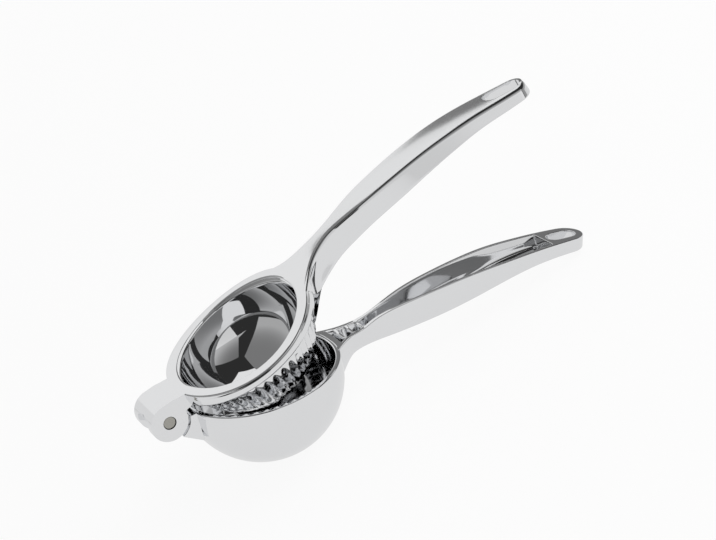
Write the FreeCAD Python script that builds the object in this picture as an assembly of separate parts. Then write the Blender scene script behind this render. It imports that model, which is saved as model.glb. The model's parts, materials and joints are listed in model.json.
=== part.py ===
import FreeCAD, Part
import math
import os

from FreeCAD import Vector

# Hinged lemon squeezer. Lengths are millimetres and angles are degrees.
# Both arms are drawn from the hinge axis: X runs towards the handles, Y along the pin, Z up out of
# the cup. The last section opens the upper arm and lays the whole squeezer on a table.

# Hinge
hinge_width = 19.6
ear_radius = 8.5
ear_thickness = 4.4
web_thickness = 1.9
knuckle_clearance = 0.3
knuckle_side_gap = 0.3
pin_radius = 2.75
pin_running_clearance = 0.05
pin_recess = 0.3
ear_relief_gap = 1.0
web_front_angle = 143.0
web_arch_depth = 1.9

# Strainer cup, measured from the hinge axis
cup_radius = 36.6
cup_wall = 2.3
cup_centre_below_rim = 3.0
rim_height = -1.1
lug_land = 1.4
cup_near_x = ear_radius + ear_relief_gap + lug_land
cup_centre_x = cup_near_x + cup_radius
cup_far_x = cup_centre_x + cup_radius
drain_hole_radius = 1.5
drain_ring_pitch = 4.7
drain_rings = 3
lug_overlap = 7.1
lug_reach = cup_near_x + lug_overlap
lug_foot_x = 4.0
lug_foot_depth = 7.9
lug_root_depth = 15.5

# Ring and press bowl, measured from the hinge axis in the upper arm's own frame
ring_overhang = 0.4
ring_radius = cup_radius + ring_overhang
ring_centre_x = cup_centre_x
ring_near_x = ring_centre_x - ring_radius
ring_far_x = ring_centre_x + ring_radius
ring_low_top = 2.2
ring_crease_inset = 0.6
saddle_radius = 180.0
saddle_offset = 1.0
press_gap = 1.1
bowl_wall = 2.2
bowl_outer_radius = cup_radius - cup_wall - press_gap
bowl_inner_radius = bowl_outer_radius - bowl_wall
bowl_centre_height = 2.0
shoulder_height = 0.3
shoulder_bulge_inset = 0.8
shoulder_bulge_radius = ring_radius - shoulder_bulge_inset
shoulder_bulge_height = -1.2
shoulder_foot_step = 0.6
shoulder_foot_radius = bowl_outer_radius + shoulder_foot_step
shoulder_foot_height = -2.4
flute_count = 45
flute_depth = 1.0
flute_radius = 2.0
flute_start_angle = 11.0
flute_end_angle = 62.0
flute_overrun = 2.0

# Tab that joins the fork to the ring
tab_overlap = 5.1
tab_end_x = ring_near_x + tab_overlap
tab_end_top = 5.8
tab_underside = -1.0
tab_web_underside = 3.4

# Handles. The length runs from the cup's far edge to the middle of the rounded tip.
handle_length = 125.8
tip_centre_x = cup_far_x + handle_length
handle_wall = 2.2
handle_crown_thickness = 2.4
handle_crown_bulge = 0.8
channel_roof_bulge = 0.01
upper_eye_length = 19.4
upper_eye_width = 9.2
upper_eye_from_tip = 2.0
upper_eye_bridge = 3.8
upper_eye_centre_x = tip_centre_x - upper_eye_from_tip
upper_tip_lean = 22.0
upper_channel_setback = 13.9
upper_channel_start = cup_far_x + upper_channel_setback
upper_channel_end = upper_eye_centre_x - upper_eye_length / 2 - upper_eye_bridge
lower_eye_length = 14.4
lower_eye_width = 8.8
lower_eye_from_tip = 1.7
lower_eye_bridge = 2.0
lower_eye_centre_x = tip_centre_x - lower_eye_from_tip
lower_channel_setback = 1.5
lower_channel_start = cup_far_x + lower_channel_setback
lower_channel_end = lower_eye_centre_x - lower_eye_length / 2 - lower_eye_bridge
neck_rib_setback = 4.9
neck_rib_pitch = 5.0
neck_rib_count = 3
neck_rib_thickness = 1.3
neck_rib_drop = 0.8

# Division of the castings, pose and placing
split_margin = 0.2
open_angle = 21.8

# Stations of the two handles, from the root to the tip. Each row holds the station's place in percent
# of the handle's length, half the width and the height at the crown, then half the width and the
# height at the open edge.
upper_stations = (
    (-4.9, 20.0, 4.6, 9.0, -10.4),
    (-0.1, 13.0, 5.9, 8.2, -6.6),
    (3.4, 9.8, 7.5, 7.8, -4.8),
    (7.1, 7.4, 8.9, 7.1, -3.5),
    (11.9, 5.3, 10.0, 6.0, -2.4),
    (16.6, 4.65, 10.7, 5.2, -1.8),
    (22.9, 5.6, 11.2, 5.9, -0.9),
    (31.7, 7.6, 11.6, 8.1, 0.5),
    (42.9, 8.4, 11.3, 10.0, 1.0),
    (57.2, 8.9, 10.2, 11.4, 1.3),
    (70.7, 8.8, 8.1, 12.0, 0.7),
    (82.6, 8.2, 5.0, 11.1, -1.4),
    (93.7, 7.6, 1.1, 9.9, -4.8),
    (110.0, 5.8, -4.5, 7.8, -9.4),
)
lower_stations = (
    (-6.4, 9.0, -20.0, 15.0, -1.1),
    (0.3, 6.0, -14.2, 8.9, -1.0),
    (4.7, 4.6, -11.2, 7.4, -0.6),
    (11.1, 4.2, -9.8, 6.0, -0.4),
    (15.8, 4.0, -10.0, 5.1, 0.7),
    (22.2, 4.6, -10.4, 5.75, 2.2),
    (31.7, 6.2, -10.4, 8.2, 3.5),
    (44.4, 7.8, -10.0, 10.1, 4.0),
    (58.7, 8.6, -8.9, 11.4, 3.7),
    (70.7, 8.8, -7.8, 12.0, 2.7),
    (82.6, 8.4, -7.7, 11.1, 0.9),
    (93.7, 7.8, -9.0, 9.9, -1.3),
    (110.0, 6.4, -12.5, 7.5, -5.3),
)

ACROSS = Vector(0, 1, 0)
UP = Vector(0, 0, 1)
FAR = 400.0
MARGIN = 1.0


def disc_across(x, z, radius, y_from, y_to):
    """A cylinder along the pin's direction."""
    return Part.makeCylinder(radius, y_to - y_from, Vector(x, y_from, z), ACROSS)


def plate_across(points, y_from, y_to):
    """A side outline, given as (x, z) points, thickened along the pin's direction."""
    corners = [Vector(x, y_from, z) for x, z in points]
    face = Part.Face(Part.makePolygon(corners + corners[:1]))
    return face.extrude(Vector(0, y_to - y_from, 0))


def ball(x, z, radius):
    return Part.makeSphere(radius, Vector(x, 0, z))


def beyond(x):
    """Everything further from the hinge than x."""
    return Part.makeBox(FAR, FAR, FAR, Vector(x, -FAR / 2, -FAR / 2))


def up_to(x):
    """Everything nearer to the hinge than x."""
    return Part.makeBox(FAR, FAR, FAR, Vector(x - FAR, -FAR / 2, -FAR / 2))


def whole(shape):
    """The shape with the seams of its flat and round faces merged."""
    shape = shape.removeSplitter()
    if len(shape.Solids) == 1:
        return shape.Solids[0]
    return shape


def section(x, half_crown, crown, half_open, opened, bulge):
    """One cross-section of a handle: two drafted sides, a straight open edge and a bowed crown."""
    open_left = Vector(x, -half_open, opened)
    open_right = Vector(x, half_open, opened)
    crown_right = Vector(x, half_crown, crown)
    crown_top = Vector(x, 0, crown + bulge)
    crown_left = Vector(x, -half_crown, crown)
    return Part.Wire([
        Part.LineSegment(open_left, open_right).toShape(),
        Part.LineSegment(open_right, crown_right).toShape(),
        Part.Arc(crown_right, crown_top, crown_left).toShape(),
        Part.LineSegment(crown_left, open_left).toShape(),
    ])


def placed(stations):
    """A station table with each place turned into the distance from the hinge."""
    return [(cup_far_x + handle_length * place / 100, *row) for place, *row in stations]


def between(stations, x):
    """The row of a placed table at any distance x, in a straight line between its neighbours."""
    for near, far in zip(stations, stations[1:]):
        if near[0] <= x <= far[0]:
            share = (x - near[0]) / (far[0] - near[0])
            return tuple(a + (b - a) * share for a, b in zip(near, far))
    return stations[-1]


def handle_body(stations, side):
    """The outside of a handle. side is 1 where the crown is above the open edge, else -1."""
    wires = [section(*row, bulge=side * handle_crown_bulge) for row in stations]
    return Part.makeLoft(wires, True, False)


def handle_channel(stations, side, start, end):
    """The hollow of a handle between two distances, open past the open edge."""
    rows = [between(stations, start)]
    rows += [row for row in stations if start < row[0] < end]
    rows.append(between(stations, end))
    wires = []
    for x, half_crown, crown, half_open, opened in rows:
        slope = (half_open - half_crown) / abs(crown - opened)
        roof = crown - side * handle_crown_thickness
        half_roof = half_crown - handle_wall + slope * handle_crown_thickness
        mouth = opened - side * MARGIN
        half_mouth = half_open - handle_wall + slope * MARGIN
        wires.append(section(x, half_roof, roof, half_mouth, mouth, side * channel_roof_bulge))
    return Part.makeLoft(wires, True, False)


def tip_cutter(stations, lean):
    """What is left over around the rounded end of a handle. The end keeps the sides' draft and
    leans outwards from the open edge by the given angle."""
    _, half_crown, crown, half_open, opened = between(stations, tip_centre_x)
    draft = (half_crown - half_open) / (crown - opened)
    half_width = (half_crown + half_open) / 2
    height = (crown + opened) / 2
    reach = 2 * abs(crown - opened)
    low = Vector(tip_centre_x, 0, height - reach)
    cone = Part.makeCone(half_width - draft * reach, half_width + draft * reach, 2 * reach, low, UP)
    cutter = beyond(tip_centre_x).cut(cone)
    cutter.rotate(Vector(tip_centre_x, 0, opened), ACROSS, lean)
    return cutter


def eye(centre_x, length, width):
    """The hanging hole: a long slot with round ends."""
    radius = width / 2
    reach = length / 2 - radius
    depth = 60.0
    low = -depth / 2
    middle = Part.makeBox(2 * reach, width, depth, Vector(centre_x - reach, -radius, low))
    near = Part.makeCylinder(radius, depth, Vector(centre_x - reach, 0, low), UP)
    far = Part.makeCylinder(radius, depth, Vector(centre_x + reach, 0, low), UP)
    return middle.fuse([near, far])


def cup_centre_height():
    return rim_height - cup_centre_below_rim


def cup_outside():
    """The outer ball of the cup, cut level at the rim."""
    outside = ball(cup_centre_x, cup_centre_height(), cup_radius)
    above = Part.makeBox(FAR, FAR, FAR, Vector(-FAR / 2, -FAR / 2, rim_height))
    return outside.cut(above)


def cup_hollow():
    """The inside of the cup, open past the rim."""
    inner = cup_radius - cup_wall
    hollow = ball(cup_centre_x, cup_centre_height(), inner)
    mouth = math.sqrt(inner ** 2 - cup_centre_below_rim ** 2)
    throat = Part.makeCylinder(mouth, 2 * cup_radius, Vector(cup_centre_x, 0, rim_height), UP)
    above = Part.makeBox(FAR, FAR, FAR, Vector(-FAR / 2, -FAR / 2, rim_height))
    return hollow.cut(above).fuse(throat)


def drain_holes():
    """One hole at the bottom of the cup and rings of six, twelve and so on around it."""
    low = cup_centre_height() - cup_radius - MARGIN
    height = cup_radius / 2
    holes = [Part.makeCylinder(drain_hole_radius, height, Vector(cup_centre_x, 0, low), UP)]
    for ring in range(1, drain_rings + 1):
        for step in range(6 * ring):
            angle = 2 * math.pi * step / (6 * ring)
            x = cup_centre_x + ring * drain_ring_pitch * math.cos(angle)
            y = ring * drain_ring_pitch * math.sin(angle)
            holes.append(Part.makeCylinder(drain_hole_radius, height, Vector(x, y, low), UP))
    return holes


def knuckle_radius():
    return ear_radius - web_thickness - knuckle_clearance


def knuckle_half_width():
    return hinge_width / 2 - ear_thickness - knuckle_side_gap


def knuckle_and_lug():
    """The middle knuckle, its neck, and the full-width lug that the ears turn in front of."""
    radius = knuckle_radius()
    half = knuckle_half_width()
    barrel = disc_across(0, 0, radius, -half, half)
    neck_outline = [(0, -radius), (lug_reach, -radius), (lug_reach, rim_height),
                    (radius + ear_relief_gap, rim_height), (radius, 0), (0, 0)]
    neck = plate_across(neck_outline, -half, half)
    foot = math.sqrt(max(0.0, (ear_radius + ear_relief_gap) ** 2 - lug_foot_x ** 2))
    lug_outline = [(lug_foot_x, rim_height), (lug_reach, rim_height), (lug_reach, -lug_root_depth),
                   (lug_foot_x, -max(lug_foot_depth, foot))]
    lug = plate_across(lug_outline, -hinge_width / 2, hinge_width / 2)
    relief = disc_across(0, 0, ear_radius + ear_relief_gap, -hinge_width, hinge_width)
    return barrel.fuse([neck, lug.cut(relief)])


def lower_casting():
    """The whole lower arm before it is divided into its members."""
    stations = placed(lower_stations)
    arm = handle_body(stations, -1).cut(tip_cutter(stations, 0.0))
    channel = handle_channel(stations, -1, lower_channel_start, lower_channel_end)
    arm = arm.cut(channel)
    ribs = []
    for step in range(neck_rib_count):
        place = cup_far_x + neck_rib_setback + step * neck_rib_pitch
        top = between(stations, place)[4] - neck_rib_drop
        rib = Part.makeBox(neck_rib_thickness, FAR, FAR,
                           Vector(place - neck_rib_thickness / 2, -FAR / 2, top - FAR))
        ribs.append(rib.common(channel))
    arm = arm.fuse(ribs)
    arm = arm.cut(eye(lower_eye_centre_x, lower_eye_length, lower_eye_width))
    casting = cup_outside().fuse([knuckle_and_lug(), arm])
    casting = casting.cut(cup_hollow())
    casting = casting.cut(drain_holes())
    bore = disc_across(0, 0, pin_radius + pin_running_clearance, -hinge_width, hinge_width)
    return casting.cut(bore)


def fluted_dome():
    """The outer ball of the press bowl with its flutes, each one a bent round groove."""
    start = math.radians(flute_start_angle)
    end = math.radians(flute_end_angle)
    middle = (start + end) / 2
    half_chord = bowl_outer_radius * math.sin((end - start) / 2)
    rise = bowl_outer_radius * (1 - math.cos((end - start) / 2)) - flute_depth
    bottom_radius = (half_chord ** 2 + rise ** 2) / (2 * rise)
    back = bottom_radius - (bowl_outer_radius - flute_depth)
    pivot_r = -back * math.cos(middle)
    pivot_z = bowl_centre_height + back * math.sin(middle)
    path_radius = bottom_radius + flute_radius
    reach = math.asin(half_chord / bottom_radius) + math.radians(flute_overrun)
    grooves = []
    for step in range(flute_count):
        pivot = Vector(pivot_r, 0, pivot_z)
        first = middle - reach
        place = Vector(pivot_r + path_radius * math.cos(first), 0,
                       pivot_z - path_radius * math.sin(first))
        along = Vector(-math.sin(first), 0, -math.cos(first))
        disc = Part.Face(Part.Wire(Part.makeCircle(flute_radius, place, along)))
        groove = disc.revolve(pivot, ACROSS, math.degrees(2 * reach))
        groove.rotate(Vector(0, 0, 0), UP, 360.0 * (step + 0.5) / flute_count)
        groove.translate(Vector(ring_centre_x, 0, 0))
        grooves.append(groove)
    return ball(ring_centre_x, bowl_centre_height, bowl_outer_radius).cut(grooves)


def ring_blank():
    """The ring and its rounded shoulder, with a saddle-shaped top inside an outer crease."""
    top = ring_low_top + ring_radius ** 2 / saddle_radius
    crease_radius = ring_radius - ring_crease_inset
    foot = Vector(shoulder_foot_radius, 0, shoulder_foot_height)
    bulge = Vector(shoulder_bulge_radius, 0, shoulder_bulge_height)
    shoulder = Vector(ring_radius, 0, shoulder_height)
    crease = Vector(crease_radius, 0, ring_low_top)
    outline = Part.Wire([
        Part.LineSegment(Vector(0, 0, top), Vector(0, 0, shoulder_foot_height)).toShape(),
        Part.LineSegment(Vector(0, 0, shoulder_foot_height), foot).toShape(),
        Part.Arc(foot, bulge, shoulder).toShape(),
        Part.LineSegment(shoulder, crease).toShape(),
        Part.LineSegment(crease, Vector(crease_radius, 0, top)).toShape(),
        Part.LineSegment(Vector(crease_radius, 0, top), Vector(0, 0, top)).toShape(),
    ])
    blank = Part.Face(outline).revolve(Vector(0, 0, 0), UP, 360)
    blank.translate(Vector(ring_centre_x, 0, 0))
    return blank.cut(saddle())


def saddle():
    """The large cylinder across the arm that hollows the ring's top."""
    return disc_across(ring_centre_x - saddle_offset, ring_low_top + saddle_radius, saddle_radius,
                       -FAR / 2, FAR / 2)


def fork_body():
    """Both ears and the tab that joins them to the ring, before the knuckle's room is cut out."""
    distance = math.hypot(tab_end_x, tab_end_top)
    tangent = math.atan2(tab_end_top, tab_end_x) + math.acos(ear_radius / distance)
    touch = (ear_radius * math.cos(tangent), ear_radius * math.sin(tangent))
    start = math.sqrt(ear_radius ** 2 - tab_underside ** 2)
    outline = [(0, 0), touch, (tab_end_x, tab_end_top), (tab_end_x, tab_underside),
               (start, tab_underside)]
    half = hinge_width / 2
    plate = plate_across(outline, -half, half)
    return disc_across(0, 0, ear_radius, -half, half).fuse(plate)


def fork_room():
    """The room between the ears: round behind the web, flat under the tab and open in front."""
    half = hinge_width / 2 - ear_thickness
    inner = ear_radius - web_thickness
    round_room = disc_across(0, 0, inner, -half, half)
    under_tab = plate_across([(0, 0), (0, -FAR), (FAR, -FAR), (FAR, tab_web_underside),
                              (math.sqrt(inner ** 2 - tab_web_underside ** 2), tab_web_underside)],
                             -half, half)
    front = math.radians(web_front_angle)
    edge = (FAR * math.cos(front), FAR * math.sin(front))
    in_front = plate_across([(0, 0), edge, (-FAR, -FAR), (0, -FAR)], -half, half)
    arch_radius = (half ** 2 + web_arch_depth ** 2) / (2 * web_arch_depth)
    arch_centre = (ear_radius * math.cos(front), ear_radius * math.sin(front))
    slide = arch_radius - web_arch_depth
    arch = Part.makeCylinder(
        arch_radius, FAR / 2,
        Vector(arch_centre[0] - slide * math.sin(front), 0, arch_centre[1] + slide * math.cos(front)),
        Vector(math.cos(front), 0, math.sin(front)))
    slot = Part.makeBox(FAR, 2 * half, FAR, Vector(-FAR / 2, -half, -FAR / 2))
    arch = arch.common(slot)
    return round_room.fuse([under_tab, in_front, arch])


def upper_casting():
    """The whole upper arm before it is divided into its members, in its own frame."""
    stations = placed(upper_stations)
    arm = handle_body(stations, 1).cut(tip_cutter(stations, upper_tip_lean))
    arm = arm.cut(handle_channel(stations, 1, upper_channel_start, upper_channel_end))
    arm = arm.cut(eye(upper_eye_centre_x, upper_eye_length, upper_eye_width))
    below = Part.makeBox(FAR, FAR, FAR, Vector(-FAR / 2, -FAR / 2, shoulder_foot_height - FAR))
    dome = fluted_dome().common(below)
    fork = fork_body().cut(fork_room())
    casting = ring_blank().fuse([dome, arm, fork])
    hollow = ball(ring_centre_x, bowl_centre_height, bowl_inner_radius)
    throat = Part.makeCylinder(bowl_inner_radius, FAR,
                               Vector(ring_centre_x, 0, bowl_centre_height), UP)
    casting = casting.cut(hollow.fuse(throat))
    return casting.cut(disc_across(0, 0, pin_radius, -hinge_width, hinge_width))


def hinge_pin():
    half = hinge_width / 2 - pin_recess
    return disc_across(0, 0, pin_radius, -half, half)


def lower_members():
    """The lower arm divided by two upright planes beside the cup."""
    casting = lower_casting()
    hinge_side = cup_near_x - split_margin
    handle_side = cup_far_x + split_margin
    return {
        "hinge_knuckle": casting.common(up_to(hinge_side)),
        "strainer_cup": casting.cut([up_to(hinge_side), beyond(handle_side)]),
        "lower_handle": casting.common(beyond(handle_side)),
    }


def upper_members():
    """The upper arm divided by two planes beside the ring, square to the arm."""
    casting = upper_casting()
    hinge_side = ring_near_x - split_margin
    handle_side = ring_far_x + split_margin
    return {
        "hinge_fork": casting.common(up_to(hinge_side)),
        "press_bowl": casting.cut([up_to(hinge_side), beyond(handle_side)]),
        "upper_handle": casting.common(beyond(handle_side)),
        "hinge_pin": hinge_pin(),
    }


def table_tilt():
    """The angle that brings the cup's bottom and the lower handle's tip onto one table."""
    stations = placed(lower_stations)
    tip_x = tip_centre_x + between(stations, tip_centre_x)[1]
    tip = between(stations, tip_x)
    rise = cup_centre_height() - (tip[2] - handle_crown_bulge)
    run = tip_x - cup_centre_x
    reach = math.hypot(rise, run)
    return math.degrees(math.asin(cup_radius / reach) - math.atan2(rise, run))


def assemble():
    """Every node in its place, with the origin below the middle of the whole squeezer."""
    hinge = Vector(0, 0, 0)
    nodes = dict(lower_members())
    for name, shape in upper_members().items():
        shape = shape.copy()
        shape.rotate(hinge, ACROSS, -open_angle)
        nodes[name] = shape
    tilt = table_tilt()
    for shape in nodes.values():
        shape.rotate(hinge, ACROSS, tilt)
    box = Part.makeCompound(list(nodes.values())).optimalBoundingBox(False)
    move = Vector(-box.Center.x, -box.Center.y, -box.ZMin)
    for shape in nodes.values():
        shape.translate(move)
    return nodes, move, tilt


def main():
    os.makedirs("parts", exist_ok=True)
    nodes, hinge, tilt = assemble()
    for name, shape in nodes.items():
        shape = whole(shape)
        shape.exportStep(f"parts/{name}.step")
        print(f"{name}: {len(shape.Solids)} solid, valid {shape.isValid()}, {shape.Volume:.1f} mm3")
    print(f"hinge axis at {hinge.x:.4f}, {hinge.y:.4f}, {hinge.z:.4f}, tilt {tilt:.4f}")


main()
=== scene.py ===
"""The looks of a hinged lemon squeezer: polished castings, the pin and the studio around them."""

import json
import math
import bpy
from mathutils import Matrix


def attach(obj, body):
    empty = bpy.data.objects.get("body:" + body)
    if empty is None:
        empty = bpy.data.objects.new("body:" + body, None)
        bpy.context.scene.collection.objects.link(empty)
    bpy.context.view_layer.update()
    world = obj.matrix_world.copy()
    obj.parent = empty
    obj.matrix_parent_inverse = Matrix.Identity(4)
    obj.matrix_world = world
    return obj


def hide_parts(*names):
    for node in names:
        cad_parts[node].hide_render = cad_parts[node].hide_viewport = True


bl_info = {
    "name": "Lemon squeezer",
    "version": (1, 0, 0),
    "blender": (4, 5, 0),
    "location": "View3D > Sidebar > Squeezer",
    "description": "Builds the polished castings of a hinged lemon squeezer around its packed model",
    "category": "Object",
}

from types import SimpleNamespace

import bmesh
import bpy
import numpy as np
from mathutils import Matrix, Vector

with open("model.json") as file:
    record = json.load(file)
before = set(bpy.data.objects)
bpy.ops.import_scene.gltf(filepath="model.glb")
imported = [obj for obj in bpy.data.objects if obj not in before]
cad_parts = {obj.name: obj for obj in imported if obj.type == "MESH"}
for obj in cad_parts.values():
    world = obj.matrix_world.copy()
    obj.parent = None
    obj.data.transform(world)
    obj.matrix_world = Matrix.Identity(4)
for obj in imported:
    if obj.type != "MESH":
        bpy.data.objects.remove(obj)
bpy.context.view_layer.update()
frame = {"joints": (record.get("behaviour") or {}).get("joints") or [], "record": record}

MM = 0.001
HINGE = np.array(frame["joints"][0]["pos_m"])
EYE_AXES = {mount["name"]: mount["axis"] for mount in frame["record"]["mounts"]}
ARM_EYES = {"lower_arm": "lower_hanging_eye", "upper_arm": "upper_hanging_eye"}

# Stations of the two handles, from the root to the tip. Each row holds the station's place in percent
# of the handle's length, half the width and the height at the crown, then half the width and the
# height at the open edge, in millimetres from the hinge axis.
UPPER_STATIONS = (
    (-4.9, 20.0, 4.6, 9.0, -10.4),
    (-0.1, 13.4, 5.9, 8.2, -6.6),
    (3.4, 9.9, 7.5, 7.8, -4.8),
    (7.1, 7.3, 8.9, 7.1, -3.5),
    (11.9, 5.3, 10.0, 6.0, -2.4),
    (16.6, 4.65, 10.7, 5.2, -1.8),
    (22.9, 5.6, 11.2, 5.9, -0.9),
    (31.7, 7.4, 11.6, 8.1, 0.5),
    (42.9, 8.5, 11.3, 10.0, 1.0),
    (57.2, 8.9, 10.2, 11.4, 1.3),
    (70.7, 8.8, 8.1, 12.0, 0.7),
    (82.6, 8.2, 5.0, 11.1, -1.4),
    (93.7, 7.6, 1.1, 9.9, -4.8),
    (110.0, 5.8, -4.5, 7.8, -9.4),
)
LOWER_STATIONS = (
    (-6.4, 9.0, -20.0, 13.0, -1.1),
    (0.3, 6.0, -14.2, 8.9, -1.0),
    (4.7, 4.6, -11.2, 7.4, -0.6),
    (11.1, 4.2, -9.8, 6.0, -0.4),
    (15.8, 4.0, -10.0, 5.1, 0.7),
    (22.2, 4.6, -10.4, 5.75, 2.2),
    (31.7, 6.2, -10.4, 8.2, 3.5),
    (44.4, 7.8, -10.0, 10.1, 4.0),
    (58.7, 8.6, -8.9, 11.4, 3.7),
    (70.7, 8.8, -7.8, 12.0, 2.7),
    (82.6, 8.4, -7.7, 11.1, 0.9),
    (93.7, 7.8, -9.0, 9.9, -1.3),
    (110.0, 6.4, -12.5, 7.5, -5.3),
)


def length(name, description, millimetres):
    """A size that a user can change, kept in metres."""
    return bpy.props.FloatProperty(name=name, description=description, default=millimetres * MM,
                                   min=0.0, unit="LENGTH", precision=5)


def share(name, description, value, top=1.0):
    """A plain number, such as a roughness or a brightness."""
    return bpy.props.FloatProperty(name=name, description=description, default=value, min=0.0, max=top)


def tint(name, description, red, green, blue):
    """A colour that a user can change."""
    return bpy.props.FloatVectorProperty(name=name, description=description, subtype="COLOR", size=3,
                                         default=(red, green, blue), min=0.0, max=1.0)


class SqueezerHingeSizes(bpy.types.PropertyGroup):
    width: length("Width", "Full width of the fork and the lug", 19.6)
    ear_radius: length("Ear radius", "Radius of the fork's ears", 8.5)
    ear_thickness: length("Ear thickness", "Thickness of each ear along the pin", 4.4)
    web: length("Web", "Metal left over the knuckle's room", 1.9)
    knuckle_gap: length("Knuckle gap", "Clearance around the knuckle", 0.3)
    pin_radius: length("Pin radius", "Radius of the hinge pin", 2.75)
    pin_recess: length("Pin recess", "How far the pin's ends lie below the ears", 0.3)
    pin_groove: length("Pin groove", "Width of the dark groove around the pin's end", 0.22)
    relief: length("Relief", "Gap between the ears and the lug", 1.0)
    edge: length("Edge", "Width of the rounded edges", 0.45)


class SqueezerCupSizes(bpy.types.PropertyGroup):
    radius: length("Radius", "Outer radius of the strainer cup", 36.6)
    wall: length("Wall", "Wall of the strainer cup", 2.3)
    sunk: length("Centre below rim", "Depth of the ball's centre below the rim", 3.0)
    rim_below: length("Rim below hinge", "Depth of the rim below the hinge axis", 1.1)
    land: length("Lug land", "Metal between the ears' relief and the cup", 1.4)
    hole: length("Hole radius", "Radius of a drain hole", 1.5)
    pitch: length("Ring pitch", "Distance between the rings of drain holes", 4.7)
    rings: bpy.props.IntProperty(name="Rings", description="Rings of drain holes around the middle one",
                                 default=3, min=1, max=5)
    rim_edge: length("Rim edge", "Rounding of the rim's two edges", 0.5)


class SqueezerBowlSizes(bpy.types.PropertyGroup):
    outer: length("Outer radius", "Outer radius of the press bowl", 33.2)
    inner: length("Inner radius", "Inner radius of the press bowl", 31.0)
    centre: length("Centre height", "Height of the bowl's centre above the hinge axis", 2.0)
    ring: length("Ring radius", "Largest radius of the ring", 37.0)
    crease: length("Crease radius", "Radius of the crease around the ring's top", 36.4)
    land: length("Land height", "Height of the ring's lowest top", 2.2)
    saddle: length("Saddle radius", "Radius to which the ring's top is hollowed along the arm", 180.0)
    saddle_shift: length("Saddle shift", "How far the hollow's lowest place lies before the centre", 1.0)
    foot_step: length("Foot step", "Step from the shoulder's foot to the dome", 0.6)
    foot_below: length("Foot depth", "Depth of the shoulder's foot below the hinge axis", 2.4)
    flutes: bpy.props.IntProperty(name="Flutes", description="Flutes around the dome", default=45, min=12)
    flute_depth: length("Flute depth", "Greatest depth of a flute", 1.0)
    flute_radius: length("Flute radius", "Radius of a flute's round bottom", 2.0)


class SqueezerHandleSizes(bpy.types.PropertyGroup):
    reach: length("Length", "From the cup's far edge to the middle of the rounded tip", 125.8)
    wall: length("Wall", "Wall of the handles", 2.2)
    crown: length("Crown thickness", "Metal between a handle's crown and its channel", 2.4)
    bulge: length("Crown bulge", "How far the crown is bowed across", 0.72)
    corner: length("Crown corner", "Rounding between the crown and the sides", 1.8)
    rim_edge: length("Rim edge", "Rounding of the open edge", 0.45)
    overhang: length("Tip overhang", "How far the upper tip's crown reaches beyond its open edge", 2.2)
    draw_in: length("Tip draw-in", "How far the upper tip's open edge is drawn in from the tip's middle", 0.5)
    upper_eye_length: length("Upper eye length", "Length of the upper hanging eye", 19.4)
    upper_eye_width: length("Upper eye width", "Width of the upper hanging eye", 9.2)
    upper_eye_back: length("Upper eye setback", "From the tip's middle back to the upper eye's centre", 2.0)
    upper_bridge: length("Upper bridge", "Metal between the upper channel and the eye", 3.8)
    upper_start: length("Upper channel start", "From the cup's far edge to the upper channel", 13.9)
    lower_eye_length: length("Lower eye length", "Length of the lower hanging eye", 14.4)
    lower_eye_width: length("Lower eye width", "Width of the lower hanging eye", 8.8)
    lower_eye_back: length("Lower eye setback", "From the tip's middle back to the lower eye's centre", 1.7)
    lower_bridge: length("Lower bridge", "Metal between the lower trough and the eye", 2.0)
    lower_start: length("Lower trough start", "From the cup's far edge to the lower trough", 1.5)
    rib_start: length("Rib start", "From the cup's far edge to the first cross rib", 4.9)
    rib_pitch: length("Rib pitch", "Distance between the cross ribs", 5.0)
    ribs: bpy.props.IntProperty(name="Ribs", description="Cross ribs in the lower neck", default=3, min=0)


class SqueezerLeafSizes(bpy.types.PropertyGroup):
    centre: length("Place", "Distance of the leaf facet's middle from the hinge axis", 124.3)
    half_length: length("Half length", "Half the leaf's length", 10.0)
    middle: length("Middle", "How far beside the crown's middle the leaf's ends lie", 1.4)
    near: length("Near bow", "How far the leaf's near edge is bowed out", 3.0)
    far: length("Far bow", "How far the leaf's far edge is bowed out", 3.4)
    edge: length("Edge", "Width of the leaf's steep edge", 0.6)
    depth: length("Depth", "Depth of the leaf", 0.2)


class SqueezerFinish(bpy.types.PropertyGroup):
    chrome: tint("Chrome", "Colour of the polished plating", 0.86, 0.865, 0.875)
    pin: tint("Pin", "Colour of the pin's sawn end", 0.46, 0.45, 0.41)
    polish: share("Polish", "Roughness of the polished plating", 0.055)
    brushed: share("Brushed", "Roughness of the brushed crown", 0.19)
    grain: length("Grain", "Size of the unevenness of the polish", 9.0)


SIZE_GROUPS = {
    "squeezer_hinge": SqueezerHingeSizes,
    "squeezer_cup": SqueezerCupSizes,
    "squeezer_bowl": SqueezerBowlSizes,
    "squeezer_handle": SqueezerHandleSizes,
    "squeezer_leaf": SqueezerLeafSizes,
    "squeezer_finish": SqueezerFinish,
}


def sizes(context, group):
    """The lengths of a group in millimetres, and its counts as they are."""
    found = getattr(context.scene, "squeezer_" + group)
    values = {}
    for key in found.bl_rna.properties.keys():
        value = getattr(found, key)
        if isinstance(value, float):
            values[key] = round(value / MM, 4)
        elif isinstance(value, int):
            values[key] = value
    return SimpleNamespace(**values)


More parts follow.
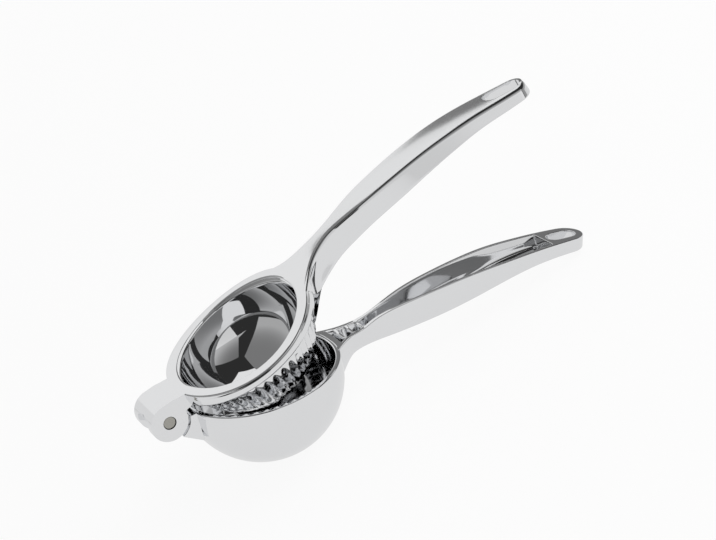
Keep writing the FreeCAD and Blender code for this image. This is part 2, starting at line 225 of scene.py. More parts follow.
def squeezer(context):
    """All driving sizes, and the places that follow from them in an arm's own frame."""
    made = SimpleNamespace(hinge=sizes(context, "hinge"), cup=sizes(context, "cup"),
                           bowl=sizes(context, "bowl"), handle=sizes(context, "handle"))
    hinge, cup = made.hinge, made.cup
    made.near_x = hinge.ear_radius + hinge.relief + cup.land
    made.centre_x = made.near_x + cup.radius
    made.far_x = made.centre_x + cup.radius
    made.rim = -cup.rim_below
    made.cup_centre = np.array((made.centre_x, 0.0, made.rim - cup.sunk))
    made.bowl_centre = np.array((made.centre_x, 0.0, made.bowl.centre))
    made.tip_x = made.far_x + made.handle.reach
    made.upper_eye_x = made.tip_x - made.handle.upper_eye_back
    made.lower_eye_x = made.tip_x - made.handle.lower_eye_back
    made.upper_channel = (made.far_x + made.handle.upper_start,
                          made.upper_eye_x - made.handle.upper_eye_length / 2 - made.handle.upper_bridge)
    made.leaf = sizes(context, "leaf")
    made.trough = (made.far_x + made.handle.lower_start,
                   made.lower_eye_x - made.handle.lower_eye_length / 2 - made.handle.lower_bridge)
    return made


def to_row(points, arm):
    """Points from an arm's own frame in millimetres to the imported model's frame in metres."""
    axis = EYE_AXES[ARM_EYES[arm]]
    lean = math.atan2(axis[0], axis[2])
    x, y, z = np.asarray(points, float).T * MM
    turned = (x * math.cos(lean) + z * math.sin(lean), y, z * math.cos(lean) - x * math.sin(lean))
    return np.array(turned).T + HINGE


def spline(places, values):
    """A smooth curve through the given values, as a function of the place."""
    places, values = np.asarray(places, float), np.asarray(values, float)
    steps = np.diff(places)
    count = len(places)
    system, right = np.eye(count), np.zeros(count)
    for i in range(1, count - 1):
        system[i, i - 1:i + 2] = steps[i - 1], 2 * (steps[i - 1] + steps[i]), steps[i]
        right[i] = 6 * ((values[i + 1] - values[i]) / steps[i] - (values[i] - values[i - 1]) / steps[i - 1])
    bends = np.linalg.solve(system, right)

    def at(x):
        x = np.clip(np.asarray(x, float), places[0], places[-1])
        i = np.clip(np.searchsorted(places, x) - 1, 0, count - 2)
        gap, before, after = steps[i], x - places[i], places[i + 1] - x
        return ((bends[i] * after ** 3 + bends[i + 1] * before ** 3) / (6 * gap)
                + (values[i] / gap - bends[i] * gap / 6) * after
                + (values[i + 1] / gap - bends[i + 1] * gap / 6) * before)

    return at


def ease(low, high, x):
    """A smooth climb from 0 at low to 1 at high."""
    t = np.clip((np.asarray(x, float) - low) / (high - low), 0, 1)
    return t * t * (3 - 2 * t)


def unit(vectors):
    vectors = np.asarray(vectors, float)
    return vectors / np.linalg.norm(vectors, axis=-1, keepdims=True)


def rounded(corner, toward_a, toward_b, reach, steps):
    """Rows of a round corner that starts reach away on a's side and ends reach away on b's side."""
    toward_a, toward_b = unit(toward_a), unit(toward_b)
    corner = np.asarray(corner, float)
    half_turn = (math.pi - np.arccos(np.clip((toward_a * toward_b).sum(-1), -1, 1))) / 2
    weight = np.cos(half_turn)[..., None]
    start, end = corner + toward_a * reach, corner + toward_b * reach
    rows = []
    for t in np.linspace(0, 1, steps + 1):
        low, mid, high = (1 - t) ** 2, 2 * t * (1 - t) * weight, t ** 2
        rows.append((low * start + mid * corner + high * end) / (low + mid + high))
    return np.array(rows)


class Shell:
    """The points and faces of one piece, gathered patch by patch in millimetres."""

    def __init__(self):
        self.points = []
        self.faces = []
        self.count = 0

    def patch(self, grid, closed=False):
        """Adds a grid of points, rows by columns, with a face between each four neighbours."""
        grid = np.asarray(grid, float)
        rows, columns = grid.shape[:2]
        index = self.count + np.arange(rows * columns).reshape(rows, columns)
        if closed:
            index = np.hstack([index, index[:, :1]])
        quads = np.stack([index[:-1, :-1], index[:-1, 1:], index[1:, 1:], index[1:, :-1]], -1)
        self.points.append(grid.reshape(-1, 3))
        self.faces.append(quads.reshape(-1, 4))
        self.count += rows * columns

    def mesh(self, name, weld=2e-4):
        """One closed mesh whose faces point outwards, still in millimetres."""
        mesh = bpy.data.meshes.new(name)
        points = np.vstack(self.points)
        mesh.from_pydata(points.tolist(), [], np.vstack(self.faces).tolist())
        shape = bmesh.new()
        shape.from_mesh(mesh)
        bmesh.ops.remove_doubles(shape, verts=shape.verts, dist=weld)
        bmesh.ops.dissolve_degenerate(shape, edges=shape.edges, dist=weld)
        bmesh.ops.recalc_face_normals(shape, faces=shape.faces)
        shape.to_mesh(mesh)
        shape.free()
        mesh.shade_smooth()
        return mesh


def settle(name, mesh, arm, material, nodes):
    """Puts a mesh made in an arm's frame in its place, dresses it and lets it ride on the arm."""
    spots = np.zeros(len(mesh.vertices) * 3)
    mesh.vertices.foreach_get("co", spots)
    normals = None
    if mesh.has_custom_normals:
        held = np.zeros(len(mesh.loops) * 3)
        mesh.corner_normals.foreach_get("vector", held)
        normals = (to_row(held.reshape(-1, 3) / MM, arm) - HINGE)
    mesh.vertices.foreach_set("co", to_row(spots.reshape(-1, 3), arm).ravel())
    mesh.update()
    if normals is not None:
        mesh.normals_split_custom_set(normals.tolist())
    mesh.materials.clear()
    mesh.materials.append(material)
    piece = bpy.data.objects.new(name, mesh)
    bpy.context.scene.collection.objects.link(piece)
    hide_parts(*nodes)
    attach(piece, arm)
    return piece


def finished(mesh, name, *modifiers):
    """The mesh after its modifiers. Each is a type and its settings, and none is left behind."""
    source = bpy.data.objects.new(name, mesh)
    bpy.context.scene.collection.objects.link(source)
    for kind, settings in modifiers:
        modifier = source.modifiers.new(kind.lower(), kind)
        for key, value in settings.items():
            setattr(modifier, key, value)
    result = evaluated_mesh(source)
    bpy.data.objects.remove(source)
    return result


def evaluated_mesh(source):
    bpy.context.view_layer.update()
    graph = bpy.context.evaluated_depsgraph_get()
    return bpy.data.meshes.new_from_object(source.evaluated_get(graph), preserve_all_data_layers=True,
                                           depsgraph=graph)


# Materials

def plated(name, colour, roughness, grain, waviness, streaks=0.0):
    """Plated metal: a mirror with a faint cast unevenness and, where brushed, fine cross streaks."""
    material = bpy.data.materials.new(name)
    material.use_nodes = True
    nodes, links = material.node_tree.nodes, material.node_tree.links
    shader = nodes["Principled BSDF"]
    shader.inputs["Base Color"].default_value = (*colour, 1)
    shader.inputs["Metallic"].default_value = 1.0
    place = nodes.new("ShaderNodeTexCoord")
    cloud = nodes.new("ShaderNodeTexNoise")
    cloud.inputs["Scale"].default_value = 1 / (grain * MM)
    cloud.inputs["Detail"].default_value = 2.0
    links.new(place.outputs["Object"], cloud.inputs["Vector"])
    rough = nodes.new("ShaderNodeMapRange")
    rough.inputs["To Min"].default_value = roughness * 0.7
    rough.inputs["To Max"].default_value = roughness * 1.3
    links.new(cloud.outputs["Fac"], rough.inputs["Value"])
    links.new(rough.outputs["Result"], shader.inputs["Roughness"])
    bump = nodes.new("ShaderNodeBump")
    bump.inputs["Strength"].default_value = waviness
    bump.inputs["Distance"].default_value = 0.02 * MM
    links.new(cloud.outputs["Fac"], bump.inputs["Height"])
    links.new(bump.outputs["Normal"], shader.inputs["Normal"])
    if streaks:
        brush_streaks(material, place, rough, bump, roughness, streaks)
    return material


def brush_streaks(material, place, rough, bump, roughness, streaks):
    """Fine scratches across a handle, kept to the faces whose finish attribute says so."""
    nodes, links = material.node_tree.nodes, material.node_tree.links
    stretch = nodes.new("ShaderNodeMapping")
    stretch.inputs["Scale"].default_value = (4000.0, 60.0, 300.0)
    fine = nodes.new("ShaderNodeTexNoise")
    fine.inputs["Scale"].default_value = 1.0
    fine.inputs["Detail"].default_value = 1.0
    mask = nodes.new("ShaderNodeAttribute")
    mask.attribute_name = "brushed"
    mixed = nodes.new("ShaderNodeMix")
    scratched = nodes.new("ShaderNodeMapRange")
    scratched.inputs["To Min"].default_value = streaks * 0.75
    scratched.inputs["To Max"].default_value = streaks * 1.25
    links.new(place.outputs["Object"], stretch.inputs["Vector"])
    links.new(stretch.outputs["Vector"], fine.inputs["Vector"])
    links.new(fine.outputs["Fac"], scratched.inputs["Value"])
    links.new(mask.outputs["Fac"], mixed.inputs["Factor"])
    links.new(rough.outputs["Result"], mixed.inputs["A"])
    links.new(scratched.outputs["Result"], mixed.inputs["B"])
    links.new(mixed.outputs["Result"], nodes["Principled BSDF"].inputs["Roughness"])


def finish_of(context, name):
    """The material of that name, made when it is first asked for."""
    if name in bpy.data.materials:
        return bpy.data.materials[name]
    wanted = context.scene.squeezer_finish
    chrome, grain = tuple(wanted.chrome), wanted.grain / MM
    if name == "polished_chrome":
        return plated(name, chrome, wanted.polish, grain, 0.25)
    if name == "bowl_mirror":
        return plated(name, chrome, wanted.polish * 0.6, grain, 0.1)
    if name == "brushed_chrome":
        return plated(name, chrome, wanted.polish, grain, 0.25, streaks=wanted.brushed)
    return plated(name, tuple(wanted.pin), 0.42, 0.6, 1.0)


# The press bowl: a turned mirror bowl in a saddle-shaped ring over a fluted dome

def saddle_rise(made, x):
    """How far the ring's top is hollowed along the arm, above its lowest place."""
    along = np.asarray(x, float) - (made.centre_x - made.bowl.saddle_shift)
    return made.bowl.saddle - np.sqrt(made.bowl.saddle ** 2 - along ** 2)


def land_height(made, x):
    return made.bowl.land + saddle_rise(made, x)


def bowl_profile(made):
    """The turned outline, radius and height, from the mirror's pole over the ring to the dome."""
    bowl = made.bowl
    inside = [(bowl.inner * math.sin(a), bowl.centre - bowl.inner * math.cos(a))
              for a in np.radians(np.linspace(0, 90, 31))]
    throat = np.array((bowl.inner, 0, bowl.land))
    land_start = np.array((bowl.inner + 1.1, 0, bowl.land + 0.22))
    bead = rounded(throat, (0, 0, -1), land_start - throat, 0.35, 4)
    bead_out = rounded(land_start, throat - land_start, (1, 0, -0.05), 0.3, 3)
    crease = np.array((bowl.crease, 0, bowl.land))
    side_top = np.array((0.6, 0, -1.9))
    fillet = rounded(crease, (-1, 0, 0.05), side_top, 0.75, 6)
    bulge_height = 0.3
    side = [(bowl.ring - (bowl.ring - bowl.crease) * ((h - bulge_height) / (bowl.land - bulge_height)) ** 2, h)
            for h in np.linspace(bowl.land - 0.8, bulge_height, 5)]
    under = [(bowl.ring * math.cos(a) + (bowl.outer + bowl.foot_step) * (1 - math.cos(a)),
              bulge_height - (bulge_height + bowl.foot_below) * math.sin(a)) for a in np.radians(np.linspace(12, 90, 8))]
    foot = bowl.outer + bowl.foot_step
    blend = [(foot - 0.35, -bowl.foot_below - 0.12), (foot - 0.6, -bowl.foot_below - 0.45)]
    dome = [(bowl.outer * math.cos(a), bowl.centre - bowl.outer * math.sin(a))
            for a in np.radians(np.linspace(9, 90, 60))]
    turned = [*inside, *bead[:, [0, 2]], *bead_out[:, [0, 2]]]
    turned += [(bowl.crease - 2.4, bowl.land + 0.1), *fillet[:, [0, 2]], *side, *under, *blend, *dome]
    return np.array(turned)


def flute_cut(made, radius, height, across):
    """Depth of a flute at a place of the dome, across being the distance from the flute's middle."""
    bowl = made.bowl
    down = np.degrees(np.arctan2(bowl.centre - height, radius))
    t = np.clip((down - 8.2) / (62.0 - 8.2), 0, 1)
    deepest = bowl.flute_depth * (1 - (2 * t - 1) ** 4) * ease(0, 0.16, t)
    return np.clip(deepest - across ** 2 / (2 * bowl.flute_radius), 0, None)


def flute_columns(made, columns=10):
    """Angles of one sector's columns, closer together towards the crests between two flutes."""
    half = math.pi / made.bowl.flutes
    even = np.linspace(-1, 1, columns + 1)
    return half * (even * 0.75 + 0.25 * even ** 3)


def bowl_sector(made):
    """One flute's sector of the press bowl, around the bowl's own axis."""
    profile = bowl_profile(made)
    angles = flute_columns(made)
    rows = []
    for radius, height in profile:
        cut = np.zeros_like(angles)
        on_dome = height < -made.bowl.foot_below - 0.3 and radius > 1
        if on_dome and math.hypot(radius, height - made.bowl.centre) > made.bowl.inner + 1:
            cut = flute_cut(made, radius, height, radius * angles)
        slope = math.atan2(made.bowl.centre - height, radius)
        reach = radius - cut * math.cos(slope)
        rise = height + cut * math.sin(slope)
        rows.append(np.stack([reach * np.cos(angles), reach * np.sin(angles), rise], -1))
    shell = Shell()
    shell.patch(rows)
    mesh = bpy.data.meshes.new("flute_sector")
    mesh.from_pydata(np.vstack(shell.points).tolist(), [], np.vstack(shell.faces).tolist())
    mesh.shade_smooth()
    return mesh


def turning_tree(name, material):
    """A node tree that repeats its geometry around Z, welds the copies and gives them a material."""
    tree = bpy.data.node_groups.new(name, "GeometryNodeTree")
    face = tree.interface
    face.new_socket("Geometry", in_out="INPUT", socket_type="NodeSocketGeometry")
    count = face.new_socket("Flutes", in_out="INPUT", socket_type="NodeSocketInt")
    count.default_value = 45
    weld = face.new_socket("Weld distance", in_out="INPUT", socket_type="NodeSocketFloat")
    weld.default_value = 1e-3
    face.new_socket("Geometry", in_out="OUTPUT", socket_type="NodeSocketGeometry")
    new, link = tree.nodes.new, tree.links.new
    entry, leave = new("NodeGroupInput"), new("NodeGroupOutput")
    points, index, place = new("GeometryNodePoints"), new("GeometryNodeInputIndex"), new("ShaderNodeCombineXYZ")
    turn, angle = new("ShaderNodeMath"), new("ShaderNodeMath")
    turn.operation, angle.operation = "DIVIDE", "MULTIPLY"
    turn.inputs[0].default_value = 2 * math.pi
    copies, real = new("GeometryNodeInstanceOnPoints"), new("GeometryNodeRealizeInstances")
    welded, dressed = new("GeometryNodeMergeByDistance"), new("GeometryNodeSetMaterial")
    dressed.inputs["Material"].default_value = material
    link(entry.outputs["Flutes"], points.inputs["Count"])
    link(entry.outputs["Flutes"], turn.inputs[1])
    link(turn.outputs[0], angle.inputs[0])
    link(index.outputs[0], angle.inputs[1])
    link(angle.outputs[0], place.inputs["Z"])
    link(points.outputs[0], copies.inputs["Points"])
    link(entry.outputs["Geometry"], copies.inputs["Instance"])
    link(place.outputs[0], copies.inputs["Rotation"])
    link(copies.outputs[0], real.inputs[0])
    link(real.outputs[0], welded.inputs["Geometry"])
    link(entry.outputs["Weld distance"], welded.inputs["Distance"])
    link(welded.outputs[0], dressed.inputs["Geometry"])
    link(dressed.outputs[0], leave.inputs["Geometry"])
    return tree, {"Flutes": count.identifier, "Weld distance": weld.identifier}


def press_bowl(context):
    made = squeezer(context)
    material = finish_of(context, "bowl_mirror")
    source = bpy.data.objects.new("flute_sector", bowl_sector(made))
    context.scene.collection.objects.link(source)
    tree, sockets = turning_tree("turned_flutes", material)
    modifier = source.modifiers.new("flutes", "NODES")
    modifier.node_group = tree
    modifier[sockets["Flutes"]] = made.bowl.flutes
    modifier[sockets["Weld distance"]] = 1e-3
    mesh = evaluated_mesh(source)
    source.modifiers.remove(modifier)
    bpy.data.objects.remove(source)
    shape = bmesh.new()
    shape.from_mesh(mesh)
    bulge_height = 0.3
    for vertex in shape.verts:
        x, y, z = vertex.co
        lifted = float(ease(bulge_height, made.bowl.land, z)) * float(saddle_rise(made, x + made.centre_x))
        vertex.co = (x + made.centre_x, y, z + lifted)
    bmesh.ops.remove_doubles(shape, verts=shape.verts, dist=1e-3)
    bmesh.ops.recalc_face_normals(shape, faces=shape.faces)
    shape.to_mesh(mesh)
    shape.free()
    mesh.shade_smooth()
    mesh.name = "mirror_bowl"
    return settle("mirror_bowl", mesh, "upper_arm", material, ["press_bowl"])


# The handles

class HandleForm:
    """The skin of one handle, as curves along the arm and rules across it."""

    def __init__(self, made, stations, side):
        self.made = made
        self.side = side
        table = np.array(stations)
        places = made.far_x + made.handle.reach * table[:, 0] / 100
        self.half_crown, self.crown, self.half_open, self.opened = (
            spline(places, table[:, column]) for column in (1, 2, 3, 4))
        self.wall, self.thick = made.handle.wall, made.handle.crown
        self.corner, self.rim = made.handle.corner, made.handle.rim_edge

    def crown_height(self, x, y):
        bulge = self.made.handle.bulge * (1 - (y / self.half_crown(x)) ** 2)
        return self.crown(x) + self.side * bulge

    def open_height(self, x, y):
        return self.opened(x) + 0 * y

    def depth(self, x):
        """How much of its full depth the channel has, from 0 where the handle is solid to 1."""
        return np.zeros_like(x)

    def wall_bow(self, x):
        """How far the sides are hollowed between the crown and the open edge."""
        return np.zeros_like(x)

    def wall_power(self, x):
        """How late the sides leave the upright on their way down. 1 is a straight draft."""
        return np.ones_like(x)

    def strip(self, crown_plan, crown_out, open_plan, open_out, walls=10):
        """Rows down the side: the crown's round corner, the wall and the open edge's round corner."""
        cx, cy = crown_plan.T
        ox, oy = open_plan.T
        corner = np.stack([cx, cy, self.crown_height(cx, cy)], -1)
        edge = np.stack([ox, oy, self.open_height(ox, oy)], -1)
        inner = crown_plan - crown_out * self.corner
        inward = np.stack([inner[:, 0], inner[:, 1], self.crown_height(*inner.T)], -1) - corner
        inner_edge = open_plan - open_out * self.rim
        edge_in = np.stack([inner_edge[:, 0], inner_edge[:, 1], self.open_height(*inner_edge.T)], -1) - edge
        down = edge - corner
        top = rounded(corner, inward, down, self.corner, 6)
        low = rounded(edge, -down, edge_in, self.rim, 4)
        out = np.concatenate([crown_out + open_out, np.zeros((len(cx), 1))], 1)
        out = unit(out)
        bow, power = self.wall_bow(cx)[:, None], self.wall_power(cx)
        sides = []
        for v in np.linspace(0, 1, walls + 1)[1:-1]:
            late = v ** power
            step = np.stack([late, late, np.full_like(late, v)], -1)
            sides.append(top[-1] + (low[0] - top[-1]) * step - out * bow * 4 * v * (1 - v))
        return np.concatenate([top, np.array(sides), low])


def outline_normals(curve, x):
    """The plan normals of the right side of an outline at each place."""
    gap = 0.05
    slope = (curve(x + gap) - curve(x - gap)) / (2 * gap)
    return unit(np.stack([-slope, np.ones_like(x)], -1))


def slot_reach(angle, half_length, radius):
    """Distance from a slot's centre to its edge in a direction."""
    run = half_length - radius
    c, s = np.abs(np.cos(angle)), np.abs(np.sin(angle))
    beside = radius / np.maximum(s, 1e-9)
    around = run * c + np.sqrt(np.maximum(radius ** 2 - (run * s) ** 2, 0))
    return np.where(beside * c <= run, beside, around)


class HandleBuilder:
    """Builds one handle's closed mesh from its form."""

    CROWN_STEPS = 52
    OPEN_STEPS = 7
    TIP_STEPS = 40

    def __init__(self, form, places, cut_x, tip_x, eye, root, overhang=0.0):
        self.form = form
        self.places = np.asarray(places, float)
        self.cut_x = cut_x
        self.tip_x = tip_x
        self.overhang = overhang
        self.eye = eye
        self.root = root
        self.shell = Shell()

    def chain(self, curve, middle):
        """Plan points and normals of an outline: right side, round the tip, and back on the left."""
        normal = outline_normals(curve, np.array([middle]))[0]
        tip = middle + float(curve(middle)) * normal[0] / normal[1]
        normal = outline_normals(curve, np.array([tip]))[0]
        radius = float(curve(tip)) / normal[1]
        start = math.atan2(normal[1], normal[0])
        turns = np.linspace(start, -start, self.TIP_STEPS + 1)
        side = np.linspace(self.cut_x, tip, 9)[:-1]
        right, right_out = np.stack([side, curve(side)], -1), outline_normals(curve, side)
        round_out = np.stack([np.cos(turns), np.sin(turns)], -1)
        around = np.array([tip - radius * normal[0], 0]) + radius * round_out
        mirror = np.array([1, -1])
        plan = np.concatenate([right, around, right[::-1] * mirror])
        out = np.concatenate([right_out, round_out, right_out[::-1] * mirror])
        return plan, out

    def open_row(self, start, x):
        """The right half of a row across the open side, from the rim's rounding to the middle."""
        form = self.form
        width_open, width_crown = float(form.half_open(x)), float(form.half_crown(x))
        high, low = float(form.opened(x)), float(form.crown(x)) - form.side * form.thick
        slope = (width_open - width_crown) / abs(float(form.crown(x)) - high)
        mouth = np.array((x, width_open - form.wall, high))
        foot = np.array((x, max(width_crown - form.wall + slope * form.thick, 0.6), low))
        to_foot = foot - mouth
        lip = rounded(mouth, (0, 1, 0), to_foot, 0.4, 4)
        base = rounded(foot, -to_foot, (0, -1, 0), min(1.3, foot[1] * 0.6), 6)
        wall = [lip[-1] + (base[0] - lip[-1]) * v for v in np.linspace(0, 1, 8)[1:-1]]
        flat = [base[-1] * np.array((1, 1 - v, 1)) for v in np.linspace(0, 1, self.OPEN_STEPS)[1:]]
        land = [start + (lip[0] - start) * v for v in (0.0, 0.3, 0.7)]
        row = np.array([*land, *lip, *wall, *base, *flat])
        q = float(form.depth(np.array(x)))
        row[:, 2] = high + (row[:, 2] - high) * q
        return row

    def body(self):
        """The two strips and the surfaces between them, from the root to the tip's cut."""
        form, places = self.form, self.places
        crown_out = outline_normals(form.half_crown, places)
        open_out = outline_normals(form.half_open, places)
        right = form.strip(np.stack([places, form.half_crown(places)], -1), crown_out,
                           np.stack([places, form.half_open(places)], -1), open_out)
        crown_rows, open_rows = [], []
        shares = np.linspace(1, -1, self.CROWN_STEPS + 1)
        for i in range(len(places)):
            edge = right[0, i]
            y = edge[1] * shares
            x = edge[0] + 0 * y
            crown_rows.append(np.stack([x, y, form.crown_height(x, y)], -1))
            half = self.open_row(right[-1, i], places[i])
            open_rows.append(np.concatenate([half, half[-2::-1] * np.array((1, -1, 1))]))
        self.right = right
        self.crown_rows = np.array(crown_rows)
        self.open_rows = np.array(open_rows)
        self.root(self)
        mirror = np.array((1, -1, 1))
        self.shell.patch(self.right)
        self.shell.patch(self.right * mirror)
        self.shell.patch(self.crown_rows)
        self.shell.patch(self.open_rows)

    def tip(self):
        """The rounded end around the hanging eye."""
        form = self.form
        crown_plan, crown_out = self.chain(form.half_crown, self.tip_x + self.overhang)
        open_plan, open_out = self.chain(form.half_open, self.tip_x)
        strip = form.strip(crown_plan, crown_out, open_plan, open_out)
        self.shell.patch(strip)
        eye_x, eye_length, eye_width = self.eye
        centre = np.array([eye_x, 0.0])
        walls = []
        for height, ring_end, row in ((form.crown_height, strip[0], self.crown_rows[-1]),
                                      (form.open_height, strip[-1], self.open_rows[-1])):
            ring = np.concatenate([ring_end[:, :2], row[::-1, :2][1:-1]])
            angle = np.arctan2(ring[:, 1], ring[:, 0] - eye_x)
            aim = np.stack([np.cos(angle), np.sin(angle)], -1)
            reach = slot_reach(angle, eye_length / 2, eye_width / 2)[:, None]
            edge = centre + aim * reach
            sign = form.side if height == form.crown_height else -form.side
            corner = np.stack([edge[:, 0], edge[:, 1], height(*edge.T)], -1)
            outer = edge + aim * 0.5
            away = np.stack([outer[:, 0], outer[:, 1], height(*outer.T)], -1) - corner
            down = np.tile((0.0, 0.0, -sign), (len(corner), 1))
            lip = rounded(corner, away, down, 0.5, 5)
            rows = []
            for v in np.linspace(0, 1, 9)[:-1]:
                plan = ring * (1 - v) + lip[0][:, :2] * v
                rows.append(np.stack([plan[:, 0], plan[:, 1], height(*plan.T)], -1))
            self.shell.patch(np.concatenate([rows, lip]), closed=True)
            walls.append(lip[-1])
        self.shell.patch([walls[0] + (walls[1] - walls[0]) * v for v in np.linspace(0, 1, 7)], closed=True)


def close_root(builder, middle):
    """Closes the root inside the ring's or the cup's metal, each cross row bowed to the middle's rule."""
    loop = np.concatenate([builder.crown_rows[0][len(builder.crown_rows[0]) // 2::-1],
                           builder.right[1:-1, 0],
                           builder.open_rows[0][:len(builder.open_rows[0]) // 2 + 1]])
    across = np.linspace(1, -1, 9)
    grid = []
    for share in across:
        row = loop * np.array((1, share, 1))
        if abs(share) < 1:
            row = middle(row)
        grid.append(row)
    grid = np.array(grid)
    builder.shell.patch(grid)


def on_ball(points, centre, radius):
    """Points pushed onto a ball along X, on the side away from the hinge."""
    points = np.array(points, float)
    y, z = points[..., 1], points[..., 2] - centre[2]
    points[..., 0] = centre[0] + np.sqrt(np.maximum(radius ** 2 - y ** 2 - z ** 2, 1.0))
    return points


class UpperForm(HandleForm):
    """The upper handle, whose crown grows out of the ring's top."""

    def __init__(self, made, stations, side):
        super().__init__(made, stations, side)
        on_land = np.array((72.0, 76.0, 80.0))
        table = np.array([row for row in stations if row[0] > 7])
        places = made.far_x + made.handle.reach * table[:, 0] / 100
        self.crown = spline(np.concatenate([on_land, places]),
                            np.concatenate([land_height(made, on_land), table[:, 2]]))

    def crown_height(self, x, y):
        made = self.made
        ring_top = land_height(made, np.clip(x, 0, made.far_x)) + 0.03
        own = self.crown(x) + 0.03
        bulge = made.handle.bulge * ease(86, 106, x) * (1 - (y / self.half_crown(x)) ** 2)
        free = ease(77, 81, x)
        return ring_top * (1 - free) + own * free + bulge - self.facet(x, y)

    def facet(self, x, y):
        """Depth of the leaf-shaped facet sunk into the far half of the crown near the neck."""
        leaf = self.made.leaf
        along = np.clip((x - leaf.centre) / leaf.half_length, -1, 1)
        bow = 1 - along ** 2
        near, far = leaf.middle - leaf.near * bow, leaf.middle + leaf.far * bow
        inside = ease(0, leaf.edge, y - near) * ease(0, leaf.edge, far - y)
        return leaf.depth * inside * ease(0, 0.15, bow)

    def depth(self, x):
        made = self.made
        start, end = made.upper_channel
        return ease(start, start + 1.2, x) * (1 - ease(end - 1.2, end, x))

    def wall_bow(self, x):
        return 1.2 * ease(78, 86, x) * (1 - ease(90, 104, x))

    def wall_power(self, x):
        return 2.2 - 1.2 * ease(84, 93, x)


class LowerForm(HandleForm):
    """The lower handle: an open trough whose narrow neck is stiffened by cross ribs."""

    def depth(self, x):
        made = self.made
        start, end = made.trough
        open_depth = ease(start, start + 0.8, x) * (1 - ease(end - 0.7, end, x))
        for step in range(made.handle.ribs):
            place = made.far_x + made.handle.rib_start + made.handle.rib_pitch * step
            rib = ease(place - 1.05, place - 0.55, x) * (1 - ease(place + 0.55, place + 1.05, x))
            open_depth = open_depth * (1 - 0.9 * rib)
        return open_depth


def spaced(*stretches):
    """Places along an arm, from stretches of a start, an end and a step."""
    places = [np.linspace(a, b, max(2, int(round((b - a) / step)) + 1)) for a, b, step in stretches]
    joined = np.unique(np.round(np.concatenate(places), 4))
    keep = np.concatenate([[True], np.diff(joined) > 0.02])
    return joined[keep]


def upper_root(builder):
    """Bows the first rows so that the crown starts on the ring's land and the rest inside the dome."""
    form = builder.form
    made = form.made
    straight_x = 93.0
    first = builder.places[0]
    for i, x in enumerate(builder.places):
        if x >= straight_x:
            break
        t = (x - first) / (straight_x - first)
        row = builder.crown_rows[i]
        y = row[:, 1]
        shares = 1 - (y / y[0]) ** 2
        start = made.centre_x + math.sqrt(max(33.0 ** 2, 1.0))
        pull = (start - first) * (1 - t) ** 2
        xs = row[:, 0] + pull * shares
        builder.crown_rows[i] = np.stack([xs, y, form.crown_height(xs, y)], -1)
        under = builder.open_rows[i]
        y = under[:, 1]
        shares = 1 - (y / y[0]) ** 2
        under[:, 0] += 2.0 * (1 - t) ** 2 * shares
        builder.open_rows[i] = under

    def middle(row):
        held = on_ball(row, made.bowl_centre, 32.5)
        return held

    close_root(builder, middle)


def lower_root(builder):
    """Bends the first rows onto the cup's ball with a flare, and closes them inside its wall."""
    form = builder.form
    made = form.made
    centre, held = made.cup_centre, made.cup.radius - 0.7
    joined_x = 92.0
    last = int(np.searchsorted(builder.places, joined_x))
    flare = 3.2

    def flared(rows, free):
        """rows: places along the arm by points of the skin. free marks the points that may rise."""
        target, tangent = rows[last], (rows[last + 1] - rows[last - 1])
        tangent = tangent / np.maximum(np.abs(tangent[:, :1]), 1e-6)
        foot = on_ball(rows[0], centre, held)
        axis = foot.copy()
        axis[:, 1] = 0
        axis[:, 2] = np.clip(foot[:, 2], -9.0, -1.5)
        away = foot - axis
        away[:, 0] = 0
        away[:, 2] = np.where(free, away[:, 2], 0)
        size = np.maximum(np.linalg.norm(away, axis=-1, keepdims=True), 1e-6)
        away = away / size * np.minimum(size / 3, 1)
        base = on_ball(foot + away * flare, centre, held)
        leave = -(base - foot)
        leave = leave / np.maximum(np.linalg.norm(leave, axis=-1, keepdims=True), 1e-6)
        run = target[:, :1] - base[:, :1]
        for i in range(last):
            t = (builder.places[i] - builder.places[0]) / (joined_x - builder.places[0])
            a, b = 2 * t ** 3 - 3 * t ** 2 + 1, t ** 3 - 2 * t ** 2 + t
            c, d = 3 * t ** 2 - 2 * t ** 3, t ** 3 - t ** 2
            start_pull = leave * flare * 1.6 + np.array((0.6, 0, 0)) * run
            rows[i] = a * base + b * start_pull + c * target + d * tangent * run

    crown = builder.crown_rows
    flared(crown, np.ones(crown.shape[1], bool))
    side = np.transpose(builder.right, (1, 0, 2)).copy()
    drop = side[0, :, 2] < made.rim - 0.6
    flared(side, drop)
    side[0:last, :, 2] = np.minimum(side[0:last, :, 2], builder.form.opened(builder.places[:last])[:, None])
    builder.right = np.transpose(side, (1, 0, 2))
    for i in range(last):
        builder.crown_rows[i][0] = builder.right[0, i]
        builder.crown_rows[i][-1] = builder.right[0, i] * np.array((1, -1, 1))
        row = builder.open_rows[i]
        edge = builder.right[-1, i]
        old = row[0].copy()
        fade = np.clip(np.abs(row[:, 1]) / max(old[1], 1e-6), 0, 1) ** 4
        row[:, 0] += (edge[0] - old[0]) * fade
        row[:, 1] += np.sign(row[:, 1]) * (edge[1] - old[1]) * fade
        row[0], row[-1] = edge, edge * np.array((1, -1, 1))

    close_root(builder, lambda row: on_ball(row, centre, held - 0.2))


def mark_brushed(mesh, form):
    """Marks the crown's points as brushed, fading out over its round corner."""
    spots = np.zeros(len(mesh.vertices) * 3)
    mesh.vertices.foreach_get("co", spots)
    x, y, z = spots.reshape(-1, 3).T
    below = form.crown_height(x, y) - z
    value = (1 - ease(0.15, 0.9, below)) * ease(88, 100, x) * (1 - ease(194, 209, x))
    mark = mesh.attributes.new("brushed", "FLOAT", "POINT")
    mark.data.foreach_set("value", value.astype(np.float32))


